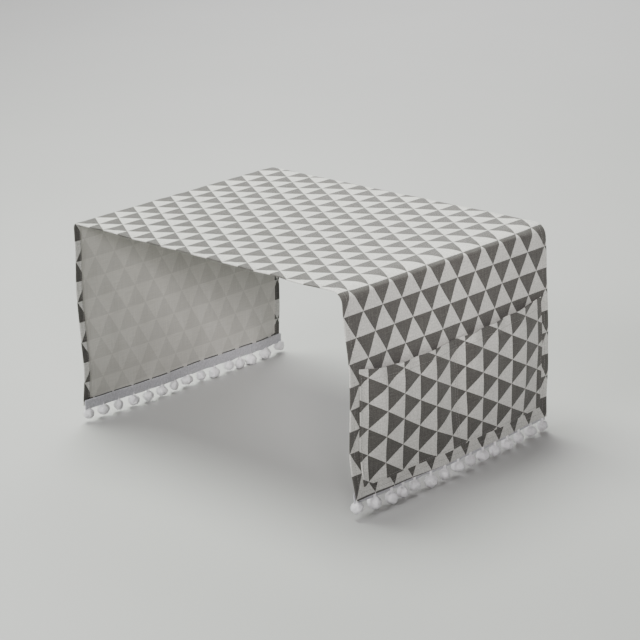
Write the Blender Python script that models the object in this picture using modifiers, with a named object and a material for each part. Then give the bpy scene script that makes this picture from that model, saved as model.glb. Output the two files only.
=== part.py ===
"""Microwave cover of printed cloth: a runner with a top panel and a drop at either end.

Each drop carries a patch sewn into two pockets, and a tape of pompoms under its hem.
+X is towards the right-hand drop, -Y towards the front, +Z up. The origin lies under
the middle of the top panel.
"""

import math

import bmesh
import bpy

MM = 0.001

# The printed triangle sets the scale of everything else.
TRIANGLE_SIDE = 30 * MM
PRINT_ROW = TRIANGLE_SIDE * math.sqrt(3) / 2

# The runner, measured to its outer face.
TOP_WIDTH = 454 * MM
DEPTH = 334 * MM
DROP = 9 * PRINT_ROW + 4.8 * MM
CLOTH_THICKNESS = 2 * MM
BEND_RADIUS_FRONT = 13 * MM
BEND_RADIUS_BACK = 16 * MM
DROP_LEAN = math.radians(1.95)
HEM_SAG = 0.4 * MM
HEM_SLOPE = 3.2 * MM
OVERHANG_LEFT = 15 * MM
OVERHANG_RIGHT = 6 * MM
OVERHANG_RADIUS = 15 * MM
EDGE_WOBBLE = 0.6 * MM
EDGE_WAVES = 5

# The patch that makes the pockets.
POCKET_INSET = 13.5 * MM
POCKET_BOTTOM = 224 * MM
POCKET_MOUTH_LOWEST = 97 * MM
POCKET_MOUTH_LOWEST_BACK = 95 * MM
POCKET_MOUTH_FRONT_RISE = 9 * MM
POCKET_MOUTH_BACK_RISE = 11 * MM
POCKET_THICKNESS = 1.8 * MM
POCKET_GAPE = 9.6 * MM
POCKET_RAMP = 0.24
POCKET_DEPTHWISE = 0.7
SEWN_GAP = 0.4 * MM

# The tape under the hem and its pompoms.
TAPE_BEHIND_HEM = 8 * MM
TAPE_BELOW_HEM = 4.5 * MM
TAPE_THICKNESS = 1.2 * MM
NECK_RADIUS = 1.7 * MM
NECK_TIP_RADIUS = 1.2 * MM
NECK_ABOVE_TAPE_EDGE = 4 * MM

# How finely each piece is divided.
TOP_STEPS = 16
BEND_STEPS = 7
DROP_STEPS = 20
DEPTH_STEPS = 20
OVERHANG_STEPS = 4
POCKET_STEPS_ACROSS = 28
POCKET_STEPS_DOWN = 12
TAPE_STEPS = 44
POMPOM_SIDES = 8
POMPOM_RINGS = 7

# Pompoms: how far back each one hangs and how far below the hem, its width and its height.
POMPOMS = (
    (3.0 * MM, 8.5 * MM, 13.9 * MM, 13.3 * MM),
    (31.1 * MM, 11.2 * MM, 15.8 * MM, 15.2 * MM),
    (57.0 * MM, 13.3 * MM, 14.6 * MM, 14.4 * MM),
    (76.8 * MM, 12.9 * MM, 13.0 * MM, 13.2 * MM),
    (95.8 * MM, 10.5 * MM, 12.8 * MM, 12.8 * MM),
    (121.4 * MM, 13.5 * MM, 14.3 * MM, 14.2 * MM),
    (143.5 * MM, 11.6 * MM, 11.7 * MM, 13.3 * MM),
    (168.6 * MM, 10.4 * MM, 15.2 * MM, 12.0 * MM),
    (191.7 * MM, 10.7 * MM, 11.0 * MM, 13.0 * MM),
    (213.6 * MM, 11.8 * MM, 14.4 * MM, 12.2 * MM),
    (235.5 * MM, 12.5 * MM, 13.4 * MM, 12.0 * MM),
    (259.1 * MM, 11.9 * MM, 14.0 * MM, 12.4 * MM),
    (282.4 * MM, 11.6 * MM, 11.2 * MM, 13.2 * MM),
    (306.5 * MM, 11.1 * MM, 15.2 * MM, 12.6 * MM),
    (328.7 * MM, 10.9 * MM, 12.6 * MM, 12.6 * MM),
)

# Soft folds in a drop: height outwards, how far down and back the middle lies, and its
# reach down and back. The left-hand drop isn't in view and has its own.
RIGHT_FOLDS = (
    (3.4 * MM, 82 * MM, 0 * MM, 38 * MM, 70 * MM),
    (-4.0 * MM, 190 * MM, 0 * MM, 38 * MM, 100 * MM),
    (3.0 * MM, 240 * MM, 0 * MM, 22 * MM, 32 * MM),
    (1.8 * MM, 75 * MM, 160 * MM, 50 * MM, 60 * MM),
    (-1.6 * MM, 70 * MM, 290 * MM, 60 * MM, 50 * MM),
    (1.4 * MM, 240 * MM, 125 * MM, 30 * MM, 40 * MM),
    (-1.4 * MM, 235 * MM, 205 * MM, 30 * MM, 38 * MM),
    (-10.5 * MM, 250 * MM, 334 * MM, 88 * MM, 90 * MM),
)
LEFT_FOLDS = (
    (2.6 * MM, 90 * MM, 20 * MM, 40 * MM, 65 * MM),
    (-3.0 * MM, 185 * MM, 40 * MM, 40 * MM, 90 * MM),
    (2.4 * MM, 240 * MM, 10 * MM, 24 * MM, 36 * MM),
    (1.8 * MM, 80 * MM, 200 * MM, 50 * MM, 60 * MM),
    (-1.5 * MM, 238 * MM, 110 * MM, 30 * MM, 42 * MM),
    (1.6 * MM, 240 * MM, 190 * MM, 30 * MM, 40 * MM),
    (2.2 * MM, 236 * MM, 325 * MM, 34 * MM, 36 * MM),
)
FOLDS_START = 30 * MM

RIGHT = 1
LEFT = -1


def smooth(value):
    """Runs from 0 to 1 with level ends."""
    value = min(max(value, 0), 1)
    return value * value * (3 - 2 * value)


def mix(start, end, share):
    return start + (end - start) * share


def bend_radius(back):
    """Outer radius of the bend into a drop, tight at the front and slack at the back."""
    return mix(BEND_RADIUS_FRONT, BEND_RADIUS_BACK, smooth(back / DEPTH))


def drop_length(back):
    """The hem sags a little and hangs lower towards the back."""
    from_middle = 2 * back / DEPTH - 1
    sag = HEM_SAG * (0.5 - from_middle * from_middle)
    return DROP + HEM_SLOPE * from_middle / 2 + sag


def back_droop(station, back):
    """The top's back hem droops over the edge of what it lies on, a little askew."""
    overhang = mix(OVERHANG_LEFT, OVERHANG_RIGHT, (station + 1) / 2)
    past = max(back - DEPTH + overhang, 0)
    return smooth(2 - abs(station)) * past * past / (2 * OVERHANG_RADIUS)


def fold_height(side, down, back):
    folds = RIGHT_FOLDS if side == RIGHT else LEFT_FOLDS
    height = 0
    for peak, fold_down, fold_back, reach_down, reach_back in folds:
        apart = ((down - fold_down) / reach_down) ** 2 + ((back - fold_back) / reach_back) ** 2
        height += peak * math.exp(-apart)
    return height * smooth((down - FOLDS_START) / FOLDS_START)


def drop_x(side, down, back):
    """Outer face of a drop, this far below the top panel's face and back from its edge."""
    radius = bend_radius(back)
    turn = math.pi / 2 - DROP_LEAN
    bend_end = radius * (1 - math.cos(turn))
    arc_x = TOP_WIDTH / 2 - radius + radius * math.sin(turn)
    outwards = arc_x + (down - bend_end) * math.tan(DROP_LEAN)
    return side * (outwards + fold_height(side, down, back))


def row_y(back):
    return back - DEPTH / 2


def runner_point(station, back):
    """Outer face of the runner. A station runs 0 to 1 over half the top, to 2 over the
    bend and to 3 down the drop, and is negative on the left."""
    side = RIGHT if station >= 0 else LEFT
    station = abs(station)
    radius = bend_radius(back)
    turn = math.pi / 2 - DROP_LEAN
    top = CLOTH_THICKNESS
    if station <= 1:
        return side * station * (TOP_WIDTH / 2 - radius), top
    if station <= 2:
        angle = (station - 1) * turn
        across = TOP_WIDTH / 2 - radius + radius * math.sin(angle)
        return side * across, top - radius * (1 - math.cos(angle))
    bend_end = radius * (1 - math.cos(turn))
    down = mix(bend_end, drop_length(back), station - 2)
    return drop_x(side, down, back), top - down


def steps_between(start, end, count):
    return [mix(start, end, step / count) for step in range(count)]


def surface(name, columns, rows, place):
    """An open sheet, one face for each cell of a grid of named places."""
    mesh = bpy.data.meshes.new(name)
    shape = bmesh.new()
    grid = [[shape.verts.new(place(column, row)) for row in rows] for column in columns]
    for near, far in zip(grid, grid[1:]):
        for low in range(len(rows) - 1):
            face = shape.faces.new((near[low], far[low], far[low + 1], near[low + 1]))
            face.smooth = True
    shape.to_mesh(mesh)
    shape.free()
    return bpy.data.objects.new(name, mesh)


def thicken(item, thickness, outwards):
    """Solidify grows the open sheet outwards (1) or inwards (-1) from its face."""
    solidify = item.modifiers.new("cloth thickness", "SOLIDIFY")
    solidify.thickness = thickness
    solidify.offset = outwards
    solidify.use_even_offset = True


def unite(item, other):
    union = item.modifiers.new("join " + other.name, "BOOLEAN")
    union.operation = "UNION"
    union.solver = "EXACT"
    union.object = other


def material(name, colour, roughness):
    made = bpy.data.materials.new(name)
    made.use_nodes = True
    shader = made.node_tree.nodes["Principled BSDF"]
    shader.inputs["Base Color"].default_value = (*colour, 1)
    shader.inputs["Roughness"].default_value = roughness
    shader.inputs["Metallic"].default_value = 0
    return made


def make_cloth():
    """The one-piece runner. Its long edges wander a little, as hemmed cloth does."""
    half = steps_between(0, 1, TOP_STEPS // 2)
    half += steps_between(1, 2, BEND_STEPS)
    half += steps_between(2, 3, DROP_STEPS)
    half.append(3)
    stations = [-station for station in reversed(half[1:])] + half
    overhang_start = DEPTH - OVERHANG_LEFT
    backs = steps_between(0, overhang_start, DEPTH_STEPS)
    backs += steps_between(overhang_start, DEPTH, OVERHANG_STEPS)
    backs.append(DEPTH)

    def place(station, back):
        across, up = runner_point(station, back)
        at_edge = 2 * back / DEPTH - 1
        wander = EDGE_WOBBLE * math.sin(EDGE_WAVES * station) * at_edge**4
        return across, row_y(back) + wander, up - back_droop(station, back)

    cloth = surface("cover_cloth", stations, backs, place)
    thicken(cloth, CLOTH_THICKNESS, -1)
    return cloth


def pocket_mouth(back):
    """The mouth's edge sags most in the front pocket and rises to the patch's two sides."""
    if back < POCKET_MOUTH_LOWEST_BACK:
        share = (POCKET_MOUTH_LOWEST_BACK - back) / (POCKET_MOUTH_LOWEST_BACK - POCKET_INSET)
        return POCKET_MOUTH_LOWEST - POCKET_MOUTH_FRONT_RISE * share * share
    reach = DEPTH - POCKET_INSET - POCKET_MOUTH_LOWEST_BACK
    share = (back - POCKET_MOUTH_LOWEST_BACK) / reach
    return POCKET_MOUTH_LOWEST - POCKET_MOUTH_BACK_RISE * share * share


def pocket_gap(down, back):
    """How far the patch stands off the drop: sewn down at its sides, middle and bottom."""
    width = DEPTH / 2 - POCKET_INSET
    share = (back - POCKET_INSET) / width % 1 if back < DEPTH - POCKET_INSET else 0
    across = smooth(min(share, 1 - share) / POCKET_RAMP)
    height = (POCKET_BOTTOM - down) / (POCKET_BOTTOM - pocket_mouth(back))
    return SEWN_GAP + POCKET_GAPE * across * min(max(height, 0), 1) ** POCKET_DEPTHWISE


def make_pocket(name, side):
    first, last = POCKET_INSET, DEPTH - POCKET_INSET
    if side == LEFT:
        first, last = last, first
    columns = [mix(first, last, step / POCKET_STEPS_ACROSS) for step in range(POCKET_STEPS_ACROSS + 1)]
    rows = [step / POCKET_STEPS_DOWN for step in range(POCKET_STEPS_DOWN + 1)]

    def place(back, height):
        down = mix(POCKET_BOTTOM, pocket_mouth(back), height)
        across = drop_x(side, down, back) + side * pocket_gap(down, back)
        return across, row_y(back), CLOTH_THICKNESS - down

    pocket = surface(name, columns, rows, place)
    thicken(pocket, POCKET_THICKNESS, 1)
    return pocket


def tape_x(side, below_hem, back):
    """Outer face of the tape, which is sewn behind the hem."""
    hem = drop_length(back)
    behind = CLOTH_THICKNESS + SEWN_GAP
    return drop_x(side, hem + below_hem, back) - side * behind


def make_tape(name, side):
    first, last = 0, DEPTH
    if side == LEFT:
        first, last = last, first
    columns = [mix(first, last, step / TAPE_STEPS) for step in range(TAPE_STEPS + 1)]
    rows = (TAPE_BELOW_HEM, 0, -TAPE_BEHIND_HEM)

    def place(back, below_hem):
        up = CLOTH_THICKNESS - drop_length(back) - below_hem
        return tape_x(side, below_hem, back), row_y(back), up

    tape = surface(name, columns, rows, place)
    thicken(tape, TAPE_THICKNESS, -1)
    return tape


def pompom_places(side):
    """Where each pompom's middle hangs, with its hang, width and height. The left-hand
    trim has them in the opposite order."""
    places = []
    for back, below, width, height in POMPOMS:
        if side == LEFT:
            back = DEPTH - back
        across = tape_x(side, 0, back) - side * TAPE_THICKNESS / 2
        up = CLOTH_THICKNESS - drop_length(back) - below
        places.append(((across, row_y(back), up), below, width, height))
    return places


def make_pompoms(name, side):
    """The balls of yarn, apart from one another."""
    mesh = bpy.data.meshes.new(name)
    shape = bmesh.new()
    for (across, along, up), _, width, height in pompom_places(side):
        made = bmesh.ops.create_uvsphere(
            shape, u_segments=POMPOM_SIDES, v_segments=POMPOM_RINGS, radius=width / 2
        )
        bmesh.ops.scale(shape, vec=(1, 1, height / width), verts=made["verts"])
        bmesh.ops.translate(shape, vec=(across, along, up), verts=made["verts"])
    shape.to_mesh(mesh)
    shape.free()
    return bpy.data.objects.new(name, mesh)


def make_necks(name, side):
    """The short yarn necks that tie each ball to the tape."""
    mesh = bpy.data.meshes.new(name)
    shape = bmesh.new()
    for (across, along, up), below, _, _ in pompom_places(side):
        length = below - TAPE_BELOW_HEM + NECK_ABOVE_TAPE_EDGE
        made = bmesh.ops.create_cone(
            shape,
            cap_ends=True,
            segments=POMPOM_SIDES,
            radius1=NECK_RADIUS,
            radius2=NECK_TIP_RADIUS,
            depth=length,
        )
        bmesh.ops.translate(shape, vec=(across, along, up + length / 2), verts=made["verts"])
    shape.to_mesh(mesh)
    shape.free()
    return bpy.data.objects.new(name, mesh)


def collection(name, parent):
    made = bpy.data.collections.new(name)
    parent.children.link(made)
    return made


def main():
    for item in list(bpy.data.objects):
        bpy.data.objects.remove(item)
    cover = collection("microwave cover", bpy.context.scene.collection)
    helpers = collection("pompoms to join", bpy.context.scene.collection)
    helpers.hide_render = True

    canvas = material("printed canvas", (0.27, 0.25, 0.23), 0.9)
    patch = material("printed pocket canvas", (0.26, 0.24, 0.22), 0.9)
    trim = material("pompom yarn", (0.61, 0.58, 0.60), 0.95)

    pieces = [(make_cloth(), canvas)]
    for side, word in ((RIGHT, "right"), (LEFT, "left")):
        pieces.append((make_pocket("pocket_" + word, side), patch))
        tape = make_tape("pompom_trim_" + word, side)
        for helper in (make_necks("necks_" + word, side), make_pompoms("balls_" + word, side)):
            helper.hide_render = True
            helper.display_type = "WIRE"
            helpers.objects.link(helper)
            unite(tape, helper)
        pieces.append((tape, trim))
    for piece, look in pieces:
        piece.data.materials.append(look)
        cover.objects.link(piece)


main()
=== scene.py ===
"""Looks of the microwave cover: printed canvas, sewn patch pockets, stitches and pompom trims.

+X is towards the right-hand drop, -Y towards the front, +Z up, and lengths are in metres.
Cloth is laid out on the surfaces of the solids that it stands for, with its bends drawn
tighter and its hems, creases and ripples added.
"""

import math

import bmesh
import bpy
import numpy as np
from mathutils import Matrix, Vector


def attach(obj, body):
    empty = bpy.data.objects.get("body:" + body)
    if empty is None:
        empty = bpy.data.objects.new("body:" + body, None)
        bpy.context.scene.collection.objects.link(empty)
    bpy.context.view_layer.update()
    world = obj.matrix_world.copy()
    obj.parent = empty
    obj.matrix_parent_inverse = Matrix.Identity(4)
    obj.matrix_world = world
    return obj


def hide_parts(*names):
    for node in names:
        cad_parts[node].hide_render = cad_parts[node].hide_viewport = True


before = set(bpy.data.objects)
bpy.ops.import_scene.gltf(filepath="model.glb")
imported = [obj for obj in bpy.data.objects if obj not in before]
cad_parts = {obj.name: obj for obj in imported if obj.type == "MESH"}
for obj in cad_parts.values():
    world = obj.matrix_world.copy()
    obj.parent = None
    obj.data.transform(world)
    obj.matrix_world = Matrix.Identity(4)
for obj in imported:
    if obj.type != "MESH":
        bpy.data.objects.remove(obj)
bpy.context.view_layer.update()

MM = 0.001


def in_metres(lengths):
    return tuple(length * MM for length in lengths)


RIGHT = 1
LEFT = -1
SIDES = ((RIGHT, "right"), (LEFT, "left"))

# The printed triangle.
TRIANGLE_SIDE = 30 * MM
PRINT_ROW = TRIANGLE_SIDE * math.sqrt(3) / 2

# The runner, measured to its outer face.
TOP_WIDTH = 454 * MM
DEPTH = 334 * MM
DROP = 9 * PRINT_ROW + 4.8 * MM
TOP_LEVEL = 2 * MM
DROP_LEAN = math.radians(1.95)
HEM_SAG = 0.4 * MM
HEM_SLOPE = 3.2 * MM
OVERHANG_LEFT = 15 * MM
OVERHANG_RIGHT = 6 * MM
OVERHANG_RADIUS = 15 * MM

# Bends: the right one is an arc at its slack front and back ends, and rolls in further
# over the top than it falls down the drop between them. The left one is a tight arc.
BEND_RADIUS_FRONT = 13 * MM
BEND_RADIUS_BACK = 16 * MM
BEND_SLACK_REACH = 60 * MM
BEND_ROLL = 22 * MM
BEND_FALL = 7.5 * MM
LEFT_BEND_RADIUS = 7 * MM
BEND_RUN_STEPS = 8

# The patch that makes the pockets.
POCKET_INSET = 13.5 * MM
POCKET_BOTTOM = 224 * MM
POCKET_MOUTH_LOWEST = 97 * MM
POCKET_MOUTH_LOWEST_BACK = 95 * MM
POCKET_MOUTH_FRONT_RISE = 9 * MM
POCKET_MOUTH_BACK_RISE = 11 * MM
POCKET_GAPE = 7.2 * MM
POCKET_RAMP = 0.24
POCKET_DEPTHWISE = 0.7
POCKET_MIDDLE = 0.9 * MM
SEWN_GAP = 0.4 * MM

# The tape under the hem and its pompoms.
TAPE_BEHIND_HEM = 8 * MM
TAPE_BELOW_HEM = 4.5 * MM
TAPE_THICKNESS = 1.2 * MM
TAPE_BEHIND = 3.4 * MM

# Pompoms, in millimetres: how far back each one hangs and how far below the hem, its width
# and its height.
POMPOMS = tuple(in_metres(row) for row in (
    (3.0, 8.5, 13.9, 13.3),
    (31.1, 11.2, 15.8, 15.2),
    (57.0, 13.3, 14.6, 14.4),
    (76.8, 12.9, 13.0, 13.2),
    (95.8, 10.5, 12.8, 12.8),
    (121.4, 13.5, 14.3, 14.2),
    (143.5, 11.6, 11.7, 13.3),
    (168.6, 10.4, 15.2, 12.0),
    (191.7, 10.7, 11.0, 13.0),
    (213.6, 11.8, 14.4, 12.2),
    (235.5, 12.5, 13.4, 12.0),
    (259.1, 11.9, 14.0, 12.4),
    (282.4, 11.6, 11.2, 13.2),
    (306.5, 11.1, 15.2, 12.6),
    (328.7, 10.9, 12.6, 12.6),
))

# Soft folds in a drop, in millimetres: height outwards, how far down and back the middle
# lies, and its reach down and back. The left-hand drop has its own.
RIGHT_FOLDS = tuple(in_metres(row) for row in (
    (3.4, 82, 0, 38, 70),
    (-4.0, 190, 0, 38, 100),
    (3.0, 240, 0, 22, 32),
    (1.8, 75, 160, 50, 60),
    (-1.6, 70, 290, 60, 50),
    (1.4, 240, 125, 30, 40),
    (-1.4, 235, 205, 30, 38),
    (-10.5, 250, 334, 88, 90),
))
LEFT_FOLDS = tuple(in_metres(row) for row in (
    (2.6, 90, 20, 40, 65),
    (-3.0, 185, 40, 40, 90),
    (2.4, 240, 10, 24, 36),
    (1.8, 80, 200, 50, 60),
    (-1.5, 238, 110, 30, 42),
    (1.6, 240, 190, 30, 40),
    (2.2, 236, 325, 34, 36),
))
FOLDS_START = 30 * MM

# Cloth thickness: one layer in the field and three in a hem.
FIELD_HALF = 0.42 * MM
HEM_HALF = 0.9 * MM
HEM_WIDTH = 9 * MM
HEM_SEAM = 7 * MM
MOUTH_HEM_WIDTH = 12 * MM
MOUTH_SEAM = 10.2 * MM
PATCH_SEAM = 2.6 * MM
MIDDLE_SEAM_APART = 3.6 * MM

# How the print lies on the runner: its phase over the top and down each drop, its lag
# towards the right bend, and how its rows sag near the hem.
TOP_PRINT_SHIFT = 7.4 * MM
DROP_PRINT_SHIFT = 1.5 * MM
LEFT_PRINT_START = -443.6 * MM
PRINT_SIDE_SHIFT = 15 * MM
BEND_PRINT_LAG = 1 * MM
BEND_LAG_START = 0.85
BEND_LAG_REACH = 0.15
HEM_PRINT_RISE = 0.8 * MM
HEM_PRINT_SAG = 5.2 * MM
HEM_PRINT_REACH = 240 * MM
HEM_PRINT_START = 100 * MM
HEM_PRINT_FALL = 135 * MM

# How the print lies on a patch: its phase, the sag of its rows round the front pocket's
# middle, their rise at the back, and the shift of its lowest columns at the front.
PATCH_PRINT_SHIFT = 24.8 * MM
PATCH_SAG = 3.6 * MM
PATCH_SAG_BACK = 105 * MM
PATCH_SAG_REACH_FRONT = 62 * MM
PATCH_SAG_REACH_BACK = 85 * MM
PATCH_RISE = 1.9 * MM
PATCH_RISE_START = 255 * MM
PATCH_RISE_REACH = 65 * MM
PATCH_PRINT_FORWARD = 4.5 * MM
FORWARD_START_DOWN = 150 * MM
FORWARD_REACH_DOWN = 80 * MM
FORWARD_START_BACK = 95 * MM
FORWARD_REACH_BACK = 60 * MM

# Grid steps of the cloth meshes, with close ones for a rounded rim and a hem's step.
RIM_STEPS = in_metres((0, 0.12, 0.4, 0.95, 3, 5, 6.4, 7, 7.6, 8.6, 9.4))
MOUTH_STEPS = in_metres((0, 0.12, 0.4, 0.95, 3, 5.5, 8, 9.6, 10.2, 10.8, 11.6, 12.4))
PATCH_STEPS = in_metres((0, 0.12, 0.4, 0.95, 1.9, 2.6, 3.3, 5))
CLOTH_STEP = 3.1 * MM
PATCH_STEP = 2.2 * MM
BEND_STEPS = 11
ROWS_ABOVE_STITCHES = 4

# The camera stands where the photograph was taken from.
CAMERA_PLACE = (1.83496, -1.74258, 0.72419)
CAMERA_AZIMUTH = math.radians(46.212)
CAMERA_ELEVATION = math.radians(18.441)
CAMERA_ROLL = math.radians(-2.696)
CAMERA_LENS = 125.85
CAMERA_SENSOR = 36
FLOOR_LEVEL = -257.5 * MM
FLOOR_REACH = 14


# Cloth surfaces

def smooth(value):
    """Runs from 0 to 1 with level ends."""
    value = np.clip(value, 0, 1)
    return value * value * (3 - 2 * value)


def onset(place, start, reach):
    """0 up to a start, and 1 from a reach past it."""
    return smooth((place - start) / reach)


def mix(start, end, share):
    return start + (end - start) * share


def bell(place, reach):
    """1 at a place of 0, dying away on both sides."""
    return np.exp(-((place / reach) ** 2))


def unit(vectors):
    return vectors / np.linalg.norm(vectors, axis=-1, keepdims=True)


def nearest_to(places, place):
    """Number of the grid line that is nearest to a place."""
    return int(np.argmin(np.abs(places - place)))


def ripples(seed, count, shortest, longest):
    """A smooth random field of two coordinates, about -1 to 1, made of plane waves."""
    random = np.random.default_rng(seed)
    headings = random.uniform(0, math.pi, count)
    turns = 2 * math.pi / random.uniform(shortest, longest, count)
    phases = random.uniform(0, 2 * math.pi, count)
    sizes = random.uniform(0.5, 1, count)
    sizes /= math.sqrt(float((sizes**2).sum()))

    def field(first, second):
        total = 0
        for heading, turn, phase, size in zip(headings, turns, phases, sizes):
            along = first * math.cos(heading) + second * math.sin(heading)
            total = total + size * np.sin(turn * along + phase)
        return total

    return field


def waves(seed, count, shortest, longest):
    """A smooth random line of one coordinate, about -1 to 1."""
    random = np.random.default_rng(seed)
    turns = 2 * math.pi / random.uniform(shortest, longest, count)
    phases = random.uniform(0, 2 * math.pi, count)
    size = 1 / math.sqrt(count)

    def line(place):
        return size * sum(np.sin(turn * place + phase) for turn, phase in zip(turns, phases))

    return line


# Fine unevenness of the cloth, with its heights and where it starts.
TOP_RIPPLES = ripples(11, 9, 45 * MM, 130 * MM)
DROP_RIPPLES = {RIGHT: ripples(12, 10, 34 * MM, 95 * MM), LEFT: ripples(13, 10, 34 * MM, 95 * MM)}
HEM_FLUTTER = {RIGHT: waves(14, 4, 52 * MM, 110 * MM), LEFT: waves(15, 4, 52 * MM, 110 * MM)}
BEND_CREASES = {RIGHT: waves(16, 5, 19 * MM, 47 * MM), LEFT: waves(17, 5, 19 * MM, 47 * MM)}
EDGE_LIFT = waves(18, 4, 60 * MM, 150 * MM)
PUCKERS = waves(19, 6, 11 * MM, 19 * MM)
LIP_WAVES = {RIGHT: waves(20, 3, 34 * MM, 62 * MM), LEFT: waves(21, 3, 34 * MM, 62 * MM)}
TAPE_WAVES = {RIGHT: waves(22, 5, 14 * MM, 40 * MM), LEFT: waves(23, 5, 14 * MM, 40 * MM)}

TOP_RIPPLE = 0.28 * MM
DROP_RIPPLE = 0.42 * MM
DROP_RIPPLE_START = 20 * MM
DROP_RIPPLE_REACH = 60 * MM
FLUTTER = 0.5 * MM
FLUTTER_START = 130 * MM
FLUTTER_REACH = 110 * MM
BEND_CREASE = 0.3 * MM
LIFT = 0.7 * MM
LIFT_REACH = 14 * MM
LIFT_GROWTH = 1.6
PUCKER = 0.16 * MM
PUCKER_REACH = 3.5 * MM
LIP_WAVE = 1.2 * MM
LIP_WAVE_START = 0.55
LIP_WAVE_REACH = 0.45
LIP_CLOSE = 2.6 * MM
LIP_CLOSE_START = 0.82
LIP_CLOSE_REACH = 0.18

# Section of the cloth: a folded rim's bluntness, the dip that thread pulls along a seam,
# and the soft step and swelling of a hem.
RIM_BLUNT = 0.22
SEAM_DIP = 0.22 * MM
SEAM_DIP_REACH = 0.9 * MM
HEM_STEP_BEFORE = 0.5 * MM
HEM_STEP_REACH = 0.9 * MM
HEM_SWELL = 0.12 * MM
HEM_SWELL_REACH = 1.4 * MM
PATCH_STEP_BEFORE = 0.6 * MM
MOUTH_STEP_BEFORE = 0.5 * MM
PATCH_STEP_REACH = 0.8 * MM
PATCH_HEM_THINNER = 0.05 * MM
PATCH_PUCKER_INWARDS = 0.1 * MM


def bend_tightness(back):
    """1 where the bend is pulled tight, falling to 0 at the slack front and back edges."""
    return smooth(back / BEND_SLACK_REACH) * smooth((DEPTH - back) / BEND_SLACK_REACH)


def bend_reaches(side, back):
    """How far a bend reaches in over the top and down the drop."""
    if side == LEFT:
        radius = LEFT_BEND_RADIUS + 0 * back
        return radius, radius
    slack = mix(BEND_RADIUS_FRONT, BEND_RADIUS_BACK, smooth(back / DEPTH))
    tightness = bend_tightness(back)
    return mix(slack, BEND_ROLL, tightness), mix(slack, BEND_FALL, tightness)


def bend_run(roll, fall, angle):
    """Length of the bend from the top to this angle."""
    middles = [angle * (number + 0.5) / BEND_RUN_STEPS for number in range(BEND_RUN_STEPS)]
    lengths = [np.hypot(roll * math.cos(middle), fall * math.sin(middle)) for middle in middles]
    return sum(lengths) * angle / BEND_RUN_STEPS


def drop_length(back):
    """The hem sags a little and hangs lower towards the back."""
    from_middle = 2 * back / DEPTH - 1
    sag = HEM_SAG * (0.5 - from_middle * from_middle)
    return DROP + HEM_SLOPE * from_middle / 2 + sag


def back_droop(station, back):
    """The top's back hem droops over the edge of what it lies on, a little askew."""
    overhang = mix(OVERHANG_LEFT, OVERHANG_RIGHT, (station + 1) / 2)
    past = np.maximum(back - DEPTH + overhang, 0)
    return smooth(2 - abs(station)) * past * past / (2 * OVERHANG_RADIUS)


def fold_height(side, down, back):
    height = 0
    folds = RIGHT_FOLDS if side == RIGHT else LEFT_FOLDS
    for peak, fold_down, fold_back, reach_down, reach_back in folds:
        apart = ((down - fold_down) / reach_down) ** 2 + ((back - fold_back) / reach_back) ** 2
        height = height + peak * np.exp(-apart)
    return height * onset(down, FOLDS_START, FOLDS_START)


def drop_unevenness(side, down, back):
    """Fine waves of a drop, which its patch, tape and pompoms follow."""
    loose = onset(down, DROP_RIPPLE_START, DROP_RIPPLE_REACH)
    hanging = onset(down, FLUTTER_START, FLUTTER_REACH)
    rippled = DROP_RIPPLE * loose * DROP_RIPPLES[side](back, down)
    return rippled + FLUTTER * hanging * HEM_FLUTTER[side](back)


def drop_x(side, down, back):
    """Outer face of a drop, this far below the top panel's face and back from its edge."""
    roll, fall = bend_reaches(side, back)
    turn = math.pi / 2 - DROP_LEAN
    bend_end = fall * (1 - math.cos(turn))
    arc_x = TOP_WIDTH / 2 - roll + roll * math.sin(turn)
    outwards = arc_x + (down - bend_end) * math.tan(DROP_LEAN)
    return side * (outwards + fold_height(side, down, back) + drop_unevenness(side, down, back))


def row_y(back):
    return back - DEPTH / 2


def runner_place(station, back):
    """Outer face of the runner and how far its print runs. A station is 0 to 1 over half
    the top, to 2 over the bend and to 3 down the drop, and is negative on the left."""
    side = RIGHT if station >= 0 else LEFT
    droop = back_droop(station, back)
    station = abs(station)
    roll, fall = bend_reaches(side, back)
    turn = math.pi / 2 - DROP_LEAN
    bend_end = fall * (1 - math.cos(turn))
    flat = TOP_WIDTH / 2 - roll
    lag = BEND_PRINT_LAG * bend_tightness(back) if side == RIGHT else 0
    if station <= 1:
        across = side * station * flat
        up = TOP_LEVEL + TOP_RIPPLE * TOP_RIPPLES(across, back)
        lift = LIFT * smooth(station * LIFT_GROWTH) * EDGE_LIFT(across)
        up = up + lift * bell(back, LIFT_REACH)
        lag = lag * onset(station, BEND_LAG_START, BEND_LAG_REACH)
        printed = across - TOP_WIDTH / 2 + TOP_PRINT_SHIFT - lag
    elif station <= 2:
        angle = (station - 1) * turn
        crease = BEND_CREASE * math.sin(math.pi * (station - 1)) * BEND_CREASES[side](back)
        start = TOP_RIPPLE * TOP_RIPPLES(side * flat, back)
        across = side * (flat + (roll + crease) * math.sin(angle))
        up = TOP_LEVEL - fall + (fall + crease) * math.cos(angle) + start * (2 - station)
        share = bend_run(roll, fall, angle) / bend_run(roll, fall, turn)
        if side == RIGHT:
            printed = mix(TOP_PRINT_SHIFT - roll - lag, bend_end - DROP_PRINT_SHIFT, share)
        else:
            printed = mix(roll - TOP_WIDTH + TOP_PRINT_SHIFT, LEFT_PRINT_START - bend_end, share)
    else:
        down = mix(bend_end, drop_length(back), station - 2)
        across = drop_x(side, down, back)
        up = TOP_LEVEL - down
        sag = mix(-HEM_PRINT_RISE, HEM_PRINT_SAG, smooth(back / HEM_PRINT_REACH))
        sag = sag * onset(down, HEM_PRINT_START, HEM_PRINT_FALL)
        if side == RIGHT:
            printed = down - sag - DROP_PRINT_SHIFT
        else:
            printed = LEFT_PRINT_START - down + sag
    return across, up - droop, printed


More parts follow.
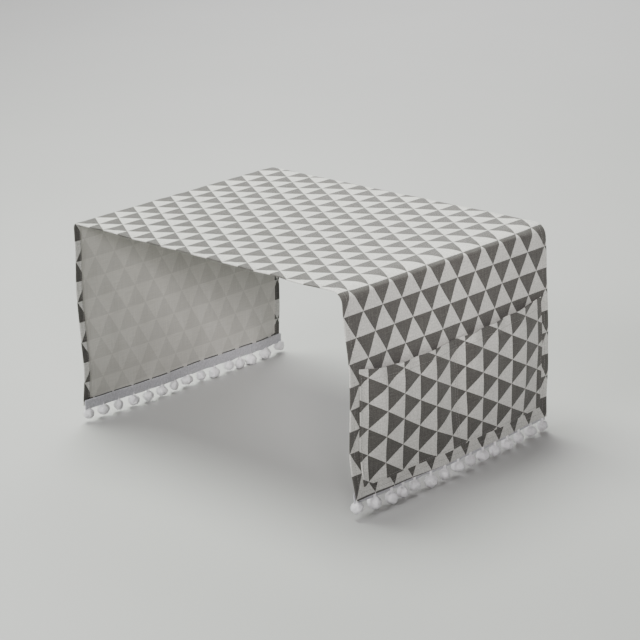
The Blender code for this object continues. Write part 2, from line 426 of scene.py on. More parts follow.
def spaced(length, step, near_start, near_end):
    """Distances from 0 to a length: the given ones at either end, and even ones between."""
    first = near_start[-1]
    last = length - near_end[-1]
    count = max(2, round((last - first) / step))
    middle = [mix(first, last, number / count) for number in range(1, count)]
    return np.array([*near_start, *middle, *[length - near for near in reversed(near_end)]])


def normals_of(points):
    """Unit normals of a grid of points, from its columns and rows."""
    along = np.gradient(points, axis=0)
    across = np.gradient(points, axis=1)
    return unit(np.cross(along, across))


def rim_round(distance, half):
    """Share of the half thickness at this distance from a folded edge."""
    inside = np.clip(distance / half, 0, 1)
    return np.maximum(np.sqrt(1 - (1 - inside) ** 2), RIM_BLUNT)


def seam_dip(distance, seam):
    """Thread pulls the cloth in along a seam."""
    return SEAM_DIP * bell(distance - seam, SEAM_DIP_REACH)


def puckers(along, from_seam, reach):
    """Small gathers along a seam."""
    return PUCKER * PUCKERS(along) * bell(from_seam, reach)


def grid_quads(columns, rows, start):
    corner = (np.arange(columns - 1)[:, None] * rows + np.arange(rows - 1)).ravel() + start
    return np.stack([corner, corner + rows, corner + rows + 1, corner + 1], axis=1)


def rim_quads(columns, rows, apart):
    """Quads round the edge of a grid, from its outer face to the inner one."""
    number = np.arange(columns * rows).reshape(columns, rows)
    loop = np.concatenate([number[:-1, 0], number[-1, :-1], number[:0:-1, -1], number[0, :0:-1]])
    after = np.roll(loop, -1)
    return np.stack([after, loop, loop + apart, after + apart], axis=1)


def thin_sheet(outer, inner):
    """Points of a thin closed sheet, and quads of its two faces and the rim between."""
    columns, rows = outer.shape[:2]
    count = columns * rows
    points = np.concatenate([outer.reshape(-1, 3), inner.reshape(-1, 3)])
    near = grid_quads(columns, rows, 0)
    far = grid_quads(columns, rows, count)[:, ::-1]
    return points, (near, far, rim_quads(columns, rows, count))


def add_object(name, data):
    made = bpy.data.objects.new(name, data)
    bpy.context.scene.collection.objects.link(made)
    return made


def mesh_object(name, points, faces, *materials):
    mesh = bpy.data.meshes.new(name)
    mesh.from_pydata(points, [], faces)
    mesh.shade_smooth()
    for material in materials:
        mesh.materials.append(material)
    return add_object(name, mesh)


def cloth_object(name, outer, inner, printed, hemmed, turned, face_material, back_material):
    """A closed thin cloth: its outer face, its inner one and the folded rim between.
    printed holds the cloth's own coordinates, which place the print and the weave. Where
    hemmed, the printed face shows on the inside too, because the hem is folded over."""
    points, (near, far, rim) = thin_sheet(outer, inner)
    faces = np.concatenate([near, far, rim])
    if turned:
        faces = faces[:, ::-1]
    made = mesh_object(name, points.tolist(), faces.tolist(), face_material, back_material)
    mesh = made.data
    hem_face = hemmed.reshape(-1)[near].mean(axis=1) > 0.5
    slots = np.concatenate([np.zeros(len(near)), np.where(hem_face, 0, 1), np.zeros(len(rim))])
    mesh.polygons.foreach_set("material_index", slots.astype(np.int32))
    layer = mesh.uv_layers.new(name="cloth")
    own = np.concatenate([printed.reshape(-1, 2)] * 2)
    layer.uv.foreach_set("vector", own[faces.ravel()].astype(np.float32).ravel())
    return made


# Thread

STITCH_PITCH = 3.3 * MM
STITCH_LENGTH = 2.7 * MM
THREAD_RADIUS = 0.2 * MM
STITCH_AIM = 1 * MM
STITCH_SIDES = 6

# Rings of a stitch: each one's place along it, its share of the thread's radius and its lift.
STITCH_RINGS = (
    (-0.5, 0.35, -0.9),
    (-0.38, 0.9, 0.0),
    (0, 1.0, 0.45),
    (0.38, 0.9, 0.0),
    (0.5, 0.35, -0.9),
)


def sampled(values, along, places):
    """Vectors of a line at the given places along it."""
    return np.stack([np.interp(places, along, values[:, axis]) for axis in range(3)], axis=1)


def stitch_row(path, normals):
    """Points and faces of a row of stitches along a line on the cloth."""
    lengths = np.linalg.norm(np.diff(path, axis=0), axis=1)
    along = np.concatenate([[0], np.cumsum(lengths)])
    count = int((along[-1] - STITCH_PITCH) / STITCH_PITCH)
    middles = STITCH_PITCH * (np.arange(count) + 0.5) + (along[-1] - count * STITCH_PITCH) / 2
    points = []
    for ring_place, ring_size, ring_lift in STITCH_RINGS:
        at = middles + ring_place * STITCH_LENGTH
        centre = sampled(path, along, at)
        normal = unit(sampled(normals, along, at))
        before = sampled(path, along, at - STITCH_AIM)
        ahead = sampled(path, along, at + STITCH_AIM)
        sideways = unit(np.cross(normal, ahead - before))
        centre = centre + normal * THREAD_RADIUS * ring_lift
        for corner in range(STITCH_SIDES):
            angle = 2 * math.pi * corner / STITCH_SIDES
            spread = normal * math.cos(angle) + sideways * math.sin(angle)
            points.append(centre + spread * THREAD_RADIUS * ring_size)
    points = np.stack(points, axis=1)
    each = len(STITCH_RINGS) * STITCH_SIDES
    quads = []
    for ring in range(len(STITCH_RINGS) - 1):
        for corner in range(STITCH_SIDES):
            after = (corner + 1) % STITCH_SIDES
            first = ring * STITCH_SIDES
            second = first + STITCH_SIDES
            quads.append((first + corner, first + after, second + after, second + corner))
    caps = [tuple(reversed(range(STITCH_SIDES))), tuple(range(each - STITCH_SIDES, each))]
    return points, quads, caps


def thread_object(name, rows, material):
    """All the stitches of some rows as one object."""
    points = []
    faces = []
    start = 0
    for path, normals in rows:
        made, quads, caps = stitch_row(path, normals)
        each = made.shape[1]
        for number in range(made.shape[0]):
            offset = start + number * each
            faces += [tuple(corner + offset for corner in face) for face in (*quads, *caps)]
        points.append(made.reshape(-1, 3))
        start += made.shape[0] * each
    return mesh_object(name, np.concatenate(points).tolist(), faces, material)


# Materials

CLOTH_SPECULAR = 0.3
SHEEN_ROUGHNESS = 0.45

# Numbers of the colour sockets on Blender's mix node.
MIX_COLOURS = (6, 7)
MIXED_COLOUR = 2


class Look:
    """A material, with short calls that add its nodes and join them."""

    def __init__(self, name, roughness, sheen=0.0):
        self.material = bpy.data.materials.new(name)
        self.material.use_nodes = True
        self.tree = self.material.node_tree
        self.shader = self.tree.nodes["Principled BSDF"]
        self.shader.inputs["Roughness"].default_value = roughness
        self.shader.inputs["Sheen Weight"].default_value = sheen
        self.shader.inputs["Sheen Roughness"].default_value = SHEEN_ROUGHNESS
        self.shader.inputs["Specular IOR Level"].default_value = CLOTH_SPECULAR

    def feed(self, socket, value):
        if isinstance(value, bpy.types.NodeSocket):
            self.tree.links.new(value, socket)
        else:
            socket.default_value = value

    def math(self, operation, *values):
        node = self.tree.nodes.new("ShaderNodeMath")
        node.operation = operation
        for socket, value in zip(node.inputs, values):
            self.feed(socket, value)
        return node.outputs[0]

    def blend(self, share, first, second):
        node = self.tree.nodes.new("ShaderNodeMix")
        node.data_type = "RGBA"
        self.feed(node.inputs["Factor"], share)
        for number, value in zip(MIX_COLOURS, (first, second)):
            self.feed(node.inputs[number], value)
        return node.outputs[MIXED_COLOUR]

    def ramp(self, value, start, end, low=0.0, high=1.0):
        """A soft step from low to high as the value goes from start to end."""
        node = self.tree.nodes.new("ShaderNodeMapRange")
        node.interpolation_type = "SMOOTHSTEP"
        for socket, number in zip(node.inputs, (value, start, end, low, high)):
            self.feed(socket, number)
        return node.outputs[0]

    def noise(self, place, scale, detail):
        node = self.tree.nodes.new("ShaderNodeTexNoise")
        for socket, value in (("Vector", place), ("Scale", scale), ("Detail", detail)):
            self.feed(node.inputs[socket], value)
        return node.outputs["Fac"]

    def combined(self, first, second):
        node = self.tree.nodes.new("ShaderNodeCombineXYZ")
        for socket, value in zip(node.inputs, (first, second)):
            self.feed(socket, value)
        return node.outputs[0]

    def cloth_coordinates(self):
        """Back and along the runner, in metres, from the cloth's own map."""
        place = self.tree.nodes.new("ShaderNodeUVMap")
        place.uv_map = "cloth"
        parts = self.tree.nodes.new("ShaderNodeSeparateXYZ")
        self.tree.links.new(place.outputs[0], parts.inputs[0])
        return parts.outputs[0], parts.outputs[1]

    def object_place(self):
        return self.tree.nodes.new("ShaderNodeTexCoord").outputs["Object"]

    def bump(self, height, distance, strength):
        node = self.tree.nodes.new("ShaderNodeBump")
        for socket, value in (("Height", height), ("Distance", distance), ("Strength", strength)):
            self.feed(node.inputs[socket], value)
        self.tree.links.new(node.outputs[0], self.shader.inputs["Normal"])

    def colour(self, value):
        self.feed(self.shader.inputs["Base Color"], value)


# The weave, and the darkest and palest shades of each ink and of the bare canvas.
THREAD_PITCH = 0.8 * MM
DOWN_SLUB = 24 * MM
BACK_SLUB = 18 * MM
LIGHT_INK = ((0.52, 0.51, 0.487, 1), (0.64, 0.63, 0.605, 1))
DARK_INK = ((0.068, 0.064, 0.06, 1), (0.108, 0.102, 0.096, 1))
INK_TIPS = (0.22, 0.21, 0.20, 1)
BARE_CANVAS = ((0.50, 0.485, 0.45, 1), (0.60, 0.585, 0.55, 1))
PRINT_THROUGH = (0.28, 0.27, 0.255, 1)
INK_EDGE = 0.006
INK_WANDER = 0.3 * MM

# Noise of the cloth, in repeats to the metre.
WANDER_SCALE = 420.0
FADE_SCALE = 9.0
MOTTLE_SCALE = 520.0
FUZZ_SCALE = 2600.0

# Ranges over which noise or the weave's height turns one shade into another. Where there
# are four numbers, the last two are the shares at either end.
PALE_STREAKS = (0.32, 0.68)
GREY_STREAKS = (0.3, 0.72)
BARE_STREAKS = (0.3, 0.7)
TIP_HEIGHTS = (0.75, 1.0)
TIP_STREAKS = (0.5, 0.75, 0.0, 0.3)
MOTTLE = (0.32, 0.68, 0.85, 1.12)
# Painted shade: the weave's hollows are darkened to the first share, its tops keep the second.
PAINTED_HOLLOW_SHADE = (0.0, 0.5, 0.82, 1.0)
SHOW_THROUGH = (0.0, 0.7, 0.42, 0.2)
TUFTS = (0.3, 0.7)
FADE_LEAST = 0.93
FADE_SPREAD = 0.14

# Relief of the cloth: shares of the weave's height, and its depth.
STREAK_HEIGHT = 0.9
FUZZ_HEIGHT = 0.35
BARE_FUZZ_HEIGHT = 0.45
WEAVE_DEPTH = 0.16 * MM
WEAVE_STRENGTH = 0.8

THREAD_SHADES = ((0.15, 0.145, 0.14, 1), (0.26, 0.25, 0.24, 1))
YARN_SHADES = ((0.84, 0.825, 0.85, 1), (0.94, 0.93, 0.95, 1))
TAPE_SHADES = ((0.40, 0.395, 0.43, 1), (0.53, 0.525, 0.565, 1))
FLOOR_SHADES = ((0.44, 0.437, 0.433, 1), (0.465, 0.462, 0.458, 1))


def plain_weave(look, first, second):
    """Height of a plain weave, 0 to 1: each thread goes over one and under the next."""
    warp = look.math("DIVIDE", first, THREAD_PITCH)
    weft = look.math("DIVIDE", second, THREAD_PITCH)
    number = look.math("ADD", look.math("FLOOR", warp), look.math("FLOOR", weft))
    over = look.math("MODULO", look.math("ABSOLUTE", number), 2.0)
    warp_round = look.math("ABSOLUTE", look.math("SINE", look.math("MULTIPLY", warp, math.pi)))
    weft_round = look.math("ABSOLUTE", look.math("SINE", look.math("MULTIPLY", weft, math.pi)))
    warp_top = look.math("MULTIPLY", warp_round, look.math("MULTIPLY_ADD", weft_round, 0.5, 0.5))
    weft_top = look.math("MULTIPLY", weft_round, look.math("MULTIPLY_ADD", warp_round, 0.5, 0.5))
    difference = look.math("SUBTRACT", warp_top, weft_top)
    return look.math("MULTIPLY_ADD", difference, over, weft_top)


def yarn_streaks(look, first, second):
    """Slubs and uneven yarns, about 0.5: long along each thread and a thread wide."""
    down_yarns = look.combined(
        look.math("DIVIDE", first, THREAD_PITCH), look.math("DIVIDE", second, DOWN_SLUB)
    )
    back_yarns = look.combined(
        look.math("DIVIDE", first, BACK_SLUB), look.math("DIVIDE", second, THREAD_PITCH)
    )
    first_noise = look.noise(down_yarns, scale=1.0, detail=1.0)
    second_noise = look.noise(back_yarns, scale=1.0, detail=1.0)
    return look.math("MULTIPLY", look.math("ADD", first_noise, second_noise), 0.5)


def triangle_share(look, along, across):
    """Light triangles of the print: 1 inside, 0 outside. Rows run along, and triangles
    stand side by side across, shifted by half a side from row to row."""
    rows = look.math("DIVIDE", along, PRINT_ROW)
    row = look.math("FLOOR", rows)
    height = look.math("SUBTRACT", rows, row)
    place = look.math("DIVIDE", across, TRIANGLE_SIDE)
    place = look.math("SUBTRACT", place, look.math("MULTIPLY", row, 0.5))
    from_middle = look.math("SUBTRACT", look.math("FRACT", look.math("ADD", place, 0.5)), 0.5)
    half_width = look.math("MULTIPLY", height, 0.5)
    inside = look.math("SUBTRACT", half_width, look.math("ABSOLUTE", from_middle))
    inside = look.math("MINIMUM", inside, look.math("SUBTRACT", 1.0, height))
    return look.ramp(inside, -INK_EDGE, INK_EDGE)


def cloth_relief(look, cloth, weave, streaks, fuzz_height):
    """Bump of the weave, with its uneven yarns and a short fuzz."""
    height = look.math("MULTIPLY_ADD", streaks, STREAK_HEIGHT, weave)
    fuzz = look.noise(cloth, FUZZ_SCALE, detail=2.0)
    height = look.math("MULTIPLY_ADD", fuzz, fuzz_height, height)
    look.bump(height, WEAVE_DEPTH, WEAVE_STRENGTH)


def printed_canvas(name, patch=False):
    """Canvas with the two-tone triangle print, and painted shade in the weave's hollows. On a patch
    the print is turned a quarter.
    """
    look = Look(name, roughness=0.85, sheen=0.2)
    back, along = look.cloth_coordinates()
    cloth = look.combined(back, along)
    wander = look.noise(cloth, WANDER_SCALE, detail=3.0)
    wander = look.math("MULTIPLY_ADD", wander, 2 * INK_WANDER, -INK_WANDER)
    if patch:
        rows, places = back, along
    else:
        rows, places = along, look.math("SUBTRACT", back, PRINT_SIDE_SHIFT)
    light = triangle_share(look, look.math("ADD", rows, wander), look.math("ADD", places, wander))
    weave = plain_weave(look, back, along)
    streaks = yarn_streaks(look, back, along)
    pale = look.blend(look.ramp(streaks, *PALE_STREAKS), *LIGHT_INK)
    grey = look.blend(look.ramp(streaks, *GREY_STREAKS), *DARK_INK)
    raised = look.ramp(weave, *TIP_HEIGHTS)
    bare_tips = look.math("MULTIPLY", raised, look.ramp(streaks, *TIP_STREAKS))
    grey = look.blend(bare_tips, grey, INK_TIPS)
    colour = look.blend(light, grey, pale)
    faded = look.noise(cloth, FADE_SCALE, detail=3.0)
    mottled = look.noise(cloth, MOTTLE_SCALE, detail=3.0)
    shade = look.math("MULTIPLY_ADD", faded, FADE_SPREAD, FADE_LEAST)
    shade = look.math("MULTIPLY", shade, look.ramp(mottled, *MOTTLE))
    # The colour is scaled by random fading and mottle, and by painted shade in the weave's hollows.
    shaded = look.tree.nodes.new("ShaderNodeVectorMath")
    shaded.operation = "SCALE"
    look.feed(shaded.inputs[0], colour)
    look.feed(shaded.inputs["Scale"], look.math("MULTIPLY", shade, look.ramp(weave, *PAINTED_HOLLOW_SHADE)))
    look.colour(shaded.outputs[0])
    cloth_relief(look, cloth, weave, streaks, FUZZ_HEIGHT)
    return look.material


def wrong_side_canvas():
    """The inner face: bare canvas with the print showing faintly through."""
    look = Look("canvas wrong side", roughness=0.9, sheen=0.4)
    back, along = look.cloth_coordinates()
    cloth = look.combined(back, along)
    light = triangle_share(look, along, look.math("SUBTRACT", back, PRINT_SIDE_SHIFT))
    weave = plain_weave(look, back, along)
    streaks = yarn_streaks(look, back, along)
    dark = look.math("SUBTRACT", 1.0, light)
    through = look.math("MULTIPLY", dark, look.ramp(weave, *SHOW_THROUGH))
    bare = look.blend(look.ramp(streaks, *BARE_STREAKS), *BARE_CANVAS)
    look.colour(look.blend(through, bare, PRINT_THROUGH))
    cloth_relief(look, cloth, weave, streaks, BARE_FUZZ_HEIGHT)
    return look.material


def sewing_thread():
    """Grey sewing thread with its twist."""
    look = Look("sewing thread", roughness=0.6, sheen=0.3)
    place = look.object_place()
    look.colour(look.blend(look.noise(place, scale=900.0, detail=2.0), *THREAD_SHADES))
    look.bump(look.noise(place, scale=5000.0, detail=1.0), distance=0.05 * MM, strength=0.6)
    return look.material


def pompom_yarn(name):
    """Off-white brushed yarn, its shade varying at random in tufts."""
    look = Look(name, roughness=0.95, sheen=0.15)
    place = look.object_place()
    tufts = look.noise(place, scale=620.0, detail=3.0)
    fine = look.noise(place, scale=3200.0, detail=2.0)
    look.colour(look.blend(look.ramp(tufts, *TUFTS), *YARN_SHADES))
    look.bump(look.math("MULTIPLY_ADD", tufts, 1.0, fine), distance=0.3 * MM, strength=0.7)
    return look.material


def woven_tape():
    """The trim's tape: a close braid of the same off-white yarn."""
    look = Look("woven tape", roughness=0.9, sheen=0.3)
    place = look.object_place()
    tint = look.noise(place, scale=420.0, detail=3.0)
    look.colour(look.blend(look.ramp(tint, *TUFTS), *TAPE_SHADES))
    look.bump(look.noise(place, scale=2400.0, detail=2.0), distance=0.12 * MM, strength=0.7)
    return look.material


# Pieces

def ride_and_stand_for(piece, slot_name, *nodes):
    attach(piece, "root")
    if nodes:
        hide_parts(*nodes)


def runner_stations():
    """Stations along the runner from the left hem to the right one."""
    middle_radius = (BEND_RADIUS_FRONT + BEND_RADIUS_BACK) / 2
    flat = TOP_WIDTH / 2 - middle_radius
    hanging = DROP - middle_radius
    top = np.linspace(0, 1, round(flat / CLOTH_STEP) + 1)
    bend = 1 + np.linspace(0, 1, BEND_STEPS + 1)[1:]
    from_hem = spaced(hanging, CLOTH_STEP, RIM_STEPS, (0,))
    drop = 3 - from_hem[::-1][1:] / hanging
    half = np.concatenate([top, bend, drop])
    return np.concatenate([-half[:0:-1], half]), hanging


def make_runner(face_material, back_material, thread_rows):
    stations, hanging = runner_stations()
    backs = spaced(DEPTH, CLOTH_STEP, RIM_STEPS, RIM_STEPS)
    outer = np.zeros((len(stations), len(backs), 3))
    printed = np.zeros((len(stations), len(backs), 2))
    for column, station in enumerate(stations):
        across, up, run = runner_place(float(station), backs)
        outer[column] = np.stack([across, row_y(backs), up], axis=1)
        printed[column] = np.stack([backs, run + 0 * backs], axis=1)
    normals = normals_of(outer)
    from_long_edge = np.minimum(backs, DEPTH - backs)[None, :] + 0 * stations[:, None]
    from_hem = (3 - np.abs(stations)) * hanging
    from_hem = from_hem[:, None] + 0 * backs[None, :]
    nearest = np.minimum(from_long_edge, from_hem)
    hemmed = nearest < HEM_WIDTH
    past_hem = nearest - HEM_WIDTH + HEM_STEP_BEFORE
    half = mix(HEM_HALF, FIELD_HALF, smooth(past_hem / HEM_STEP_REACH))
    along_edge = np.where(from_long_edge < from_hem, stations[:, None] * hanging, backs[None, :])
    pucker = puckers(along_edge, nearest - HEM_SEAM, PUCKER_REACH)
    dip = seam_dip(nearest, HEM_SEAM)
    swell = HEM_SWELL * (1 - smooth(past_hem / HEM_SWELL_REACH))
    rounding = rim_round(nearest, HEM_HALF)
    lift = (pucker - dip + swell)[..., None] * normals
    middle = outer - normals * half[..., None] + lift
    face = middle + normals * (half * rounding)[..., None]
    inside = middle - normals * half[..., None] * rounding[..., None]
    cloth = cloth_object(
        "cover_canvas", face, inside, printed, hemmed, False, face_material, back_material
    )
    add_seam_rows(thread_rows, face, inside, normals, stations, backs, hanging)
    return cloth


def add_seam_rows(thread_rows, face, inside, normals, stations, backs, hanging):
    """Stitches seen on both faces, along the front, back and bottom hems."""
    front_row = nearest_to(backs, HEM_SEAM)
    back_row = nearest_to(backs, DEPTH - HEM_SEAM)
    end = HEM_SEAM / hanging
    right_column = nearest_to(stations, 3 - end)
    left_column = nearest_to(stations, end - 3)
    inner_columns = slice(left_column, right_column + 1)
    inner_rows = slice(front_row, back_row + 1)
    for row in (front_row, back_row):
        thread_rows.append((face[inner_columns, row], normals[inner_columns, row]))
        thread_rows.append((inside[inner_columns, row], -normals[inner_columns, row]))
    for column in (left_column, right_column):
        thread_rows.append((face[column, inner_rows], normals[column, inner_rows]))
        thread_rows.append((inside[column, inner_rows], -normals[column, inner_rows]))


def pocket_mouth(back):
    """The mouth's edge sags most in the front pocket and rises to the patch's two sides."""
    before = POCKET_MOUTH_LOWEST_BACK - back
    share = before / (POCKET_MOUTH_LOWEST_BACK - POCKET_INSET)
    front = POCKET_MOUTH_LOWEST - POCKET_MOUTH_FRONT_RISE * share * share
    share = before / (DEPTH - POCKET_INSET - POCKET_MOUTH_LOWEST_BACK)
    behind = POCKET_MOUTH_LOWEST - POCKET_MOUTH_BACK_RISE * share * share
    return np.where(before > 0, front, behind)


def pocket_share_across(back):
    """0 at the patch's sides and middle seam, rising to 0.5 half way between them."""
    width = DEPTH / 2 - POCKET_INSET
    share = np.clip(back - POCKET_INSET, 0, 2 * width) / width
    share = np.where(share > 1, share - 1, share)
    return np.minimum(share, 1 - share)


def pocket_gap(side, down, back):
    """How far the patch's inner face stands off the drop."""
    across = smooth(pocket_share_across(back) / POCKET_RAMP)
    height = np.clip((POCKET_BOTTOM - down) / (POCKET_BOTTOM - pocket_mouth(back)), 0, 1)
    gap = SEWN_GAP + POCKET_GAPE * across * height**POCKET_DEPTHWISE
    lip = LIP_WAVE * LIP_WAVES[side](back) * onset(height, LIP_WAVE_START, LIP_WAVE_REACH)
    lip = lip - LIP_CLOSE * onset(height, LIP_CLOSE_START, LIP_CLOSE_REACH)
    return gap + lip * across


def patch_print_sag(back):
    """How far the patch's print hangs below a level line, most in the front pocket."""
    reach = np.where(back < PATCH_SAG_BACK, PATCH_SAG_REACH_FRONT, PATCH_SAG_REACH_BACK)
    hang = PATCH_SAG * bell(back - PATCH_SAG_BACK, reach)
    return hang - PATCH_RISE * onset(back, PATCH_RISE_START, PATCH_RISE_REACH)


def patch_print_forward(down, back):
    """How far forward the patch's lowest print is pulled at the front."""
    low_down = onset(down, FORWARD_START_DOWN, FORWARD_REACH_DOWN)
    return PATCH_PRINT_FORWARD * low_down * (1 - onset(back, FORWARD_START_BACK, FORWARD_REACH_BACK))


def make_pocket(side, word, face_material, back_material, thread_rows):
    """The patch of a drop, sewn down its middle, with its seams' stitches."""
    width = DEPTH - 2 * POCKET_INSET
    height = POCKET_BOTTOM - POCKET_MOUTH_LOWEST
    half_width = width / 2
    seam_steps = (0, MIDDLE_SEAM_APART / 4, MIDDLE_SEAM_APART / 2, MIDDLE_SEAM_APART)
    first_half = spaced(half_width, PATCH_STEP, PATCH_STEPS, seam_steps)
    along = np.concatenate([first_half, width - first_half[::-1][1:]])
    backs = POCKET_INSET + along
    ups = spaced(height, PATCH_STEP, PATCH_STEPS, MOUTH_STEPS)
    shares = ups / height
    down = mix(POCKET_BOTTOM, pocket_mouth(backs)[:, None], shares[None, :])
    back = backs[:, None] + 0 * ups[None, :]
    inner_x = np.abs(drop_x(side, down, back)) + pocket_gap(side, down, back)
    middle = np.stack([side * (inner_x + POCKET_MIDDLE), row_y(back), TOP_LEVEL - down], axis=2)
    normals = normals_of(middle) * side
    from_side = np.minimum(along, width - along)[:, None] + 0 * down
    from_bottom = ups[None, :] + 0 * down
    from_mouth = (height - ups)[None, :] + 0 * down
    turned_in = np.minimum(from_side, from_bottom)
    nearest = np.minimum(turned_in, from_mouth)
    patch_hem = PATCH_STEPS[-1]
    sewn = 1 - smooth((turned_in - patch_hem + PATCH_STEP_BEFORE) / PATCH_STEP_REACH)
    folded = 1 - smooth((from_mouth - MOUTH_HEM_WIDTH + MOUTH_STEP_BEFORE) / PATCH_STEP_REACH)
    hem_share = np.maximum(sewn, folded)
    half = mix(FIELD_HALF, POCKET_MIDDLE - PATCH_HEM_THINNER, hem_share)
    rounding = rim_round(nearest, POCKET_MIDDLE)
    dip = seam_dip(turned_in, PATCH_SEAM) + seam_dip(from_mouth, MOUTH_SEAM)
    from_middle = np.abs(along - half_width)[:, None] + 0 * down
    dip = dip + seam_dip(from_middle, MIDDLE_SEAM_APART / 2)
    pucker = puckers(back, from_mouth - MOUTH_SEAM, PUCKER_REACH)
    pucker = pucker + puckers(down, from_middle, 2 * PUCKER_REACH)
    lift = np.maximum(pucker, -PATCH_PUCKER_INWARDS) - 0.5 * dip
    middle = middle + normals * lift[..., None]
    face = middle + normals * (half * rounding - 0.5 * dip)[..., None]
    inside = middle - normals * (half * rounding)[..., None]
    print_down = down - PATCH_PRINT_SHIFT - patch_print_sag(back)
    printed = np.stack([back + patch_print_forward(down, back), print_down], axis=2)
    hemmed = hem_share > 0.5
    name = "patch_pockets_" + word
    turned = side == LEFT
    pocket = cloth_object(name, face, inside, printed, hemmed, turned, face_material, back_material)
    add_patch_seams(thread_rows, face, normals, along, ups, width, height)
    return pocket


def add_patch_seams(thread_rows, face, normals, along, ups, width, height):
    """Stitches round the patch, under its mouth and in two rows down its middle."""
    near = nearest_to(along, PATCH_SEAM)
    far = nearest_to(along, width - PATCH_SEAM)
    low = nearest_to(ups, PATCH_SEAM)
    top = nearest_to(ups, height - MOUTH_SEAM)
    across = slice(near, far + 1)
    upwards = slice(low, len(ups) - ROWS_ABOVE_STITCHES)
    for column in (near, far):
        thread_rows.append((face[column, upwards], normals[column, upwards]))
    for row in (low, top):
        thread_rows.append((face[across, row], normals[across, row]))
    for sign in (-1, 1):
        column = nearest_to(along, width / 2 + sign * MIDDLE_SEAM_APART / 2)
        thread_rows.append((face[column, upwards], normals[column, upwards]))


# Trim

TAPE_STEP = 0.95 * MM
TAPE_RIB = 1.9 * MM
TAPE_RIB_HEIGHT = 0.16 * MM
TAPE_RIB_SLANT = 0.8
TAPE_EDGE_WAVE = 0.35 * MM
TAPE_ROUNDED_WIDTH = 13 * MM
TAPE_EDGE_BLUNT = 0.1 * MM
TAPE_EDGE_RADIUS = 0.6 * MM
TAPE_ROWS = 12


def tape_middle_x(side, below_hem, back):
    hem_x = np.abs(drop_x(side, drop_length(back) + below_hem, back))
    return hem_x - TAPE_BEHIND - TAPE_THICKNESS / 2


def make_tape(side, word, material):
    """A narrow braid: slanting ribs on both faces, and a slightly uneven lower edge."""
    columns = np.linspace(0, DEPTH, round(DEPTH / TAPE_STEP) + 1)
    shares = np.linspace(0, 1, TAPE_ROWS)
    wave = TAPE_WAVES[side](columns)[:, None]
    back = columns[:, None] + 0 * shares[None, :]
    below = mix(TAPE_BELOW_HEM + TAPE_EDGE_WAVE * wave, -TAPE_BEHIND_HEM, shares[None, :])
    middle_x = tape_middle_x(side, below, back)
    up = TOP_LEVEL - drop_length(back) - below
    middle = np.stack([side * middle_x, row_y(back), up], axis=2)
    normals = normals_of(middle) * side
    slant = np.abs(below + TAPE_BELOW_HEM / 2)
    ribs = TAPE_RIB_HEIGHT * np.abs(np.sin(math.pi * (back + TAPE_RIB_SLANT * slant) / TAPE_RIB))
    from_edge = np.minimum(shares, 1 - shares)[None, :] * TAPE_ROUNDED_WIDTH
    edge = rim_round(from_edge + TAPE_EDGE_BLUNT, TAPE_EDGE_RADIUS)
    half = (TAPE_THICKNESS / 2 - TAPE_RIB_HEIGHT + ribs) * edge
    face = middle + normals * half[..., None]
    inside = middle - normals * half[..., None]
    points, quads = thin_sheet(face, inside)
    faces = np.concatenate(quads)
    if side == LEFT:
        faces = faces[:, ::-1]
    return mesh_object("trim_tape_" + word, points.tolist(), faces.tolist(), material)


# A pompom: yarn ends on a lumpy core. Core and root places are shares of its size, and
# each set of lumps has a seed, a number of waves, and their shortest and longest on a
# unit ball.
FIBRES_PER_POMPOM = 2600
FIBRE_LENGTH = 1.3 * MM
FIBRE_LENGTH_SHARES = (0.55, 1.15)
FIBRE_ROOT = 0.15 * MM
FIBRE_LEAN = 0.35
FIBRE_SEED = 40
POMPOM_CORE = 0.96
ROOTS_INSIDE_CORE = 0.03
POMPOM_LUMP = 0.05
LUMPS = ((7, 5, 0.7, 1.9), (57, 5, 0.5, 1.4))
SEEDS_APART = 100
POMPOM_BEHIND = 3 * MM
BALL_SUBDIVISIONS = 4
SPIKE_CORNERS = 4
SPIKE_FACES = ((0, 1, 3), (1, 2, 3), (2, 0, 3), (2, 1, 0))

# The neck: its foot is measured in the ball's radius, and strands of yarn twist round it.
NECK_ABOVE_TAPE_EDGE = 4 * MM
NECK_FOOT_RADIUS = 0.3
NECK_FOOT_HEIGHT = 0.55
NECK_TIP_RADIUS = 1.5 * MM
NECK_TAPER = 1.5
NECK_TURN = 0.9
NECK_STRANDS = 5
NECK_STRAND_DEPTH = 0.16
NECK_STRAND_TWIST = 4
NECK_SIDES = 10
NECK_RINGS = 7


def pompom_places(side):
    """Middle of each pompom, its hang below the hem, its width and its height. The
    left-hand trim has them in the opposite order."""
    for back, below, width, height in POMPOMS:
        if side == LEFT:
            back = DEPTH - back
        across = side * (abs(float(drop_x(side, drop_length(back), back))) - POMPOM_BEHIND)
        up = TOP_LEVEL - drop_length(back) - below
        yield np.array([across, row_y(back), up]), below, width, height


def ball_template():
    """A finely divided unit sphere."""
    made = bpy.data.meshes.new("ball")
    shape = bmesh.new()
    bmesh.ops.create_icosphere(shape, subdivisions=BALL_SUBDIVISIONS, radius=1)
    shape.to_mesh(made)
    shape.free()
    points = np.array([vertex.co for vertex in made.vertices])
    faces = np.array([face.vertices for face in made.polygons])
    bpy.data.meshes.remove(made)
    return points, faces


def pompom_surface(directions, size, lumps):
    """Where the yarn ends, from the middle, in each direction: an uneven ball."""
    across, along, up = directions.T
    bumps = lumps[0](across, along) + lumps[1](up, along)
    return directions * size * (1 + POMPOM_LUMP * bumps)[:, None]


